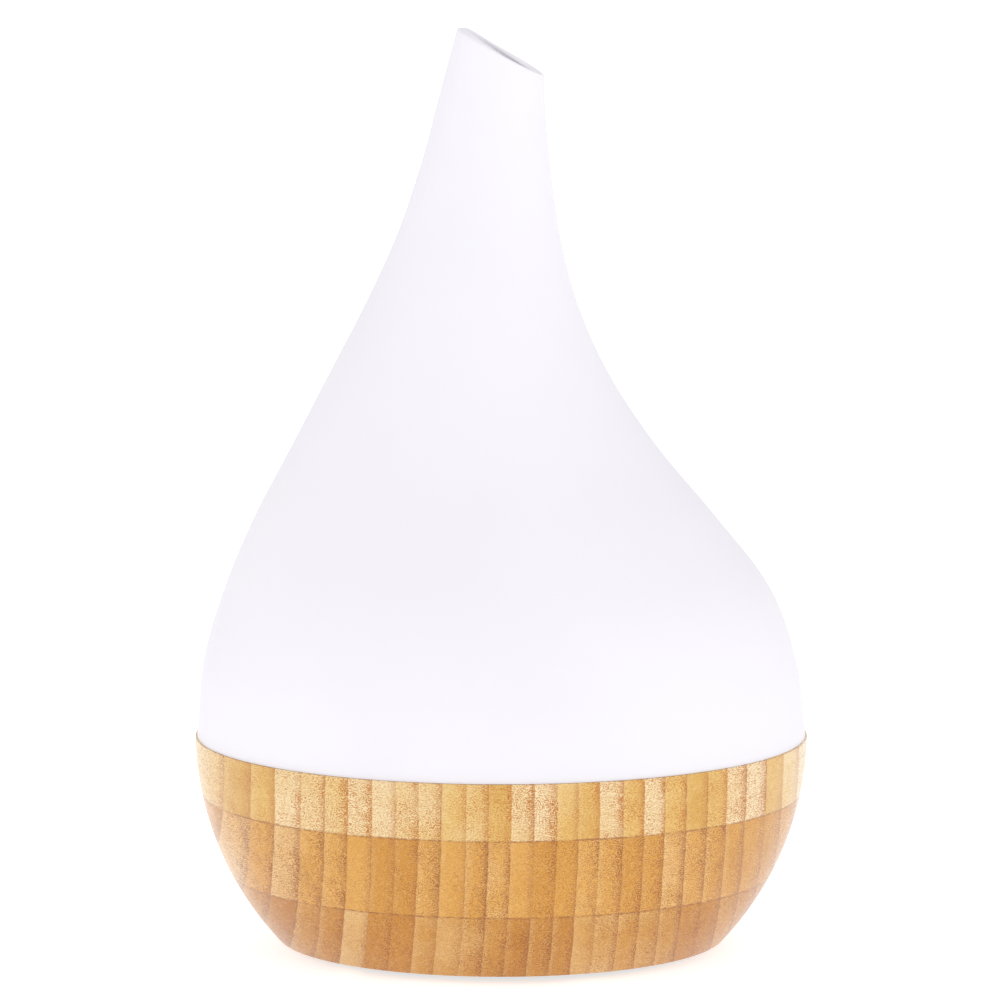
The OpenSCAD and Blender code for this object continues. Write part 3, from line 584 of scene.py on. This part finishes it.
def make_bowl():
    """The turned bowl, with its rim and base plate seats and the holes at its back."""
    rim_round = 0.15
    rim_r = ball_r(BALL_R, RIM_Z)
    foot_round = 0.2
    foot_r = ball_r(BALL_R, FOOT_Z)
    chamfer = 0.3
    outline = [(foot_r - foot_round - 0.4, FOOT_Z), (foot_r - foot_round * 0.3, FOOT_Z + foot_round * 0.1)]
    outline += ball_arc(BALL_R, FOOT_Z + foot_round, RIM_Z - rim_round, 90)
    outline += arc((rim_r - rim_round, RIM_Z - rim_round), rim_round, 0, 90, 8)[1:]
    outline += [(RIM_SEAT_R + chamfer, RIM_Z), (RIM_SEAT_R, RIM_Z - chamfer), (RIM_SEAT_R, RIM_SEAT_Z)]
    outline += ball_arc(BALL_R - WALL, RIM_SEAT_Z, LEDGE_Z, 48)
    outline += [(LEDGE_R + chamfer, LEDGE_Z), (LEDGE_R, LEDGE_Z - chamfer), (LEDGE_R, PLATE_TOP_Z),
                (PLATE_SEAT_R, PLATE_TOP_Z), (PLATE_SEAT_R, FOOT_Z + chamfer),
                (PLATE_SEAT_R + chamfer, FOOT_Z)]
    obj = piece("bowl_shell", turned("bowl_shell", outline, 256), "bamboo", "base", "bamboo_bowl")
    drill(obj, 0.0, SOCKET_Z, SOCKET_HOLE_R, 0.0)
    for side in (-1, 1):
        drill(obj, side * BUTTON_X, BUTTON_Z, BUTTON_HOLE_R, BUTTON_SINK)
    finish_mesh(obj, "bamboo", 30.0)    # the drilled mesh is a new one


# ------------------------------------------------------------------ small pieces

def rounded_outline(inner_r, outer_r, z0, z1, edge):
    """A ring's section with rounded corners, as (radius, height)."""
    steps = 4
    return (arc((outer_r - edge, z0 + edge), edge, -90, 0, steps)
            + arc((outer_r - edge, z1 - edge), edge, 0, 90, steps)
            + arc((inner_r + edge, z1 - edge), edge, 90, 180, steps)
            + arc((inner_r + edge, z0 + edge), edge, 180, 270, steps))


def make_seat_ring():
    """The pale ring between the cover and the bowl."""
    low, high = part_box("cover_seat_ring")
    outer_r = high.x / MM
    width = 1.6
    edge = 0.18
    outline = rounded_outline(outer_r - width, outer_r, low.z / MM, high.z / MM, edge)
    piece("seat_ring", turned("seat_ring", outline, 192), "silicone", "cover_seat", "cover_seat_ring")


def make_foot(index):
    """A rubber foot with a rounded tread and a shallow dish in its middle."""
    low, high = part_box(f"foot_{index}")
    radius = (high.x - low.x) / 2 / MM
    top = high.z / MM
    edge = 0.7
    dish_depth = 0.35
    dish_r = radius * 0.45
    tread_r = radius * 0.55
    outline = [(0.0, dish_depth), (dish_r, dish_depth), (tread_r, 0.0)]
    outline += arc((radius - edge, edge), edge, -90, 0, 6)
    outline += [(radius, top), (0.0, top)]
    mesh = turned(f"rubber_foot_{index}", outline, 64, closed=False)
    middle = (low + high) / 2 / MM
    for vertex in mesh.vertices:
        vertex.co.x += middle.x
        vertex.co.y += middle.y
    piece(f"rubber_foot_{index}", mesh, "rubber", "base", f"foot_{index}")


def make_button(name):
    """A push button with a flange behind the wall and a finger dish in its face."""
    low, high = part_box(name)
    flange_r = (high.x - low.x) / 2 / MM
    start = low.y / MM
    end = high.y / MM
    flange_h = 0.8
    flange_w = 0.7
    cap_r = flange_r - flange_w
    edge = 0.9
    dish_r = cap_r - edge
    dish_depth = 0.35
    outline = [(0.0, start), (flange_r, start), (flange_r, start + flange_h), (cap_r, start + flange_h)]
    outline += arc((cap_r - edge, end - edge), edge, 0, 90, 7)
    outline += [(dish_r * math.cos(a), end - dish_depth * math.sin(a) ** 2)
                for a in (math.radians(d) for d in range(10, 91, 10))]
    mesh = turned(f"{name}_cap", outline, 72, closed=False)
    x = (low.x + high.x) / 2 / MM
    z = (low.z + high.z) / 2 / MM
    for vertex in mesh.vertices:
        across, up, along = vertex.co
        vertex.co = (x + across, along, z - up)
    piece(f"{name}_cap", mesh, "white_plastic", name, name)


def dress_cad_nodes():
    """Gives each CAD node that still shows the material of its slot in the record."""
    for part in frame["record"]["subparts"]:
        node = frame["nodes"][part["node"]]
        material = MATERIALS[part["material_slot"]]
        if not node.material_slots:
            node.data.materials.append(material)
        for slot in node.material_slots:
            slot.material = material


# ------------------------------------------------------------------ floor, lights and camera

def make_stage():
    """A plain pale floor that glows a little, so that it stays white round the base."""
    g = Graph("pale_floor")
    soft = g.noise(g.place(), 0.004, detail=2.0)
    g.set(Base_Color=g.mix(soft, rgb(204, 204, 205), rgb(202, 202, 204)), Roughness=0.6,
          Emission_Color=(1.0, 1.0, 1.0, 1.0), Emission_Strength=0.7,
          Specular_IOR_Level=0.3)
    mesh = bpy.data.meshes.new("floor")
    reach = 60.0        # metres, so that no low view shows the floor's edge
    mesh.from_pydata([(-reach, -reach, 0), (reach, -reach, 0), (reach, reach, 0), (-reach, reach, 0)], [],
                     [(0, 1, 2, 3)])
    mesh.materials.append(g.material)
    floor = bpy.data.objects.new("floor", mesh)
    bpy.context.scene.collection.objects.link(floor)


def add_light(name, place, aim, width, height, power, colour):
    """An area light: places and sizes in metres, power in watts."""
    data = bpy.data.lights.new(name, "AREA")
    data.shape = "RECTANGLE"
    data.size = width
    data.size_y = height
    data.energy = power
    data.color = colour
    lamp = bpy.data.objects.new(name, data)
    bpy.context.scene.collection.objects.link(lamp)
    lamp.location = place
    lamp.rotation_euler = (Vector(aim) - Vector(place)).to_track_quat("-Z", "Y").to_euler()


def make_lights():
    """Soft studio light: a white sky, a large key and weak fills."""
    world = bpy.data.worlds.new("studio")
    bpy.context.scene.world = world
    world.use_nodes = True
    sky = world.node_tree.nodes["Background"]
    sky.inputs["Color"].default_value = (1.0, 1.0, 1.0, 1.0)
    sky.inputs["Strength"].default_value = 0.84
    middle = (0.0, 0.0, 0.1)
    foot = 0.02         # height that the low lamps aim at
    white = (1.0, 1.0, 1.0)
    add_light("key", (0.5, -1.3, 1.5), middle, 1.4, 1.4, 6.0, white)
    add_light("fill_left", (-1.4, -0.8, 0.7), middle, 1.0, 1.0, 2.1, (1.0, 0.95, 0.98))
    add_light("fill_right", (1.4, -0.8, 0.6), middle, 1.0, 1.0, 2.1, (0.96, 0.97, 1.0))
    add_light("low_right", (0.75, -0.35, 0.12), (0.05, 0.0, foot), 0.5, 0.3, 0.3, white)
    add_light("low_left", (-0.7, -0.1, 0.1), (-0.05, 0.0, foot), 0.25, 0.3, 0.4, white)


def make_camera():
    """A long lens at the height and distance that give the object's outline."""
    distance = 2.0
    elevation = math.radians(7.76)
    aim = Vector((-0.3 * MM, 0.0, 106.4 * MM))
    data = bpy.data.cameras.new("camera")
    data.sensor_width = 36.0
    data.lens = 304.7
    data.clip_end = 100.0
    camera = bpy.data.objects.new("camera", data)
    bpy.context.scene.collection.objects.link(camera)
    camera.location = aim + distance * Vector((0.0, -math.cos(elevation), math.sin(elevation)))
    camera.rotation_euler = (math.pi / 2 - elevation, 0.0, 0.0)
    bpy.context.scene.camera = camera
    bpy.context.scene.view_settings.view_transform = "Standard"


make_camera()
make_lights()
make_stage()
make_cover()
make_bowl()
make_seat_ring()
for foot_index in range(1, 5):
    make_foot(foot_index)
for button_name in ("mist_button", "light_button"):
    make_button(button_name)
dress_cad_nodes()
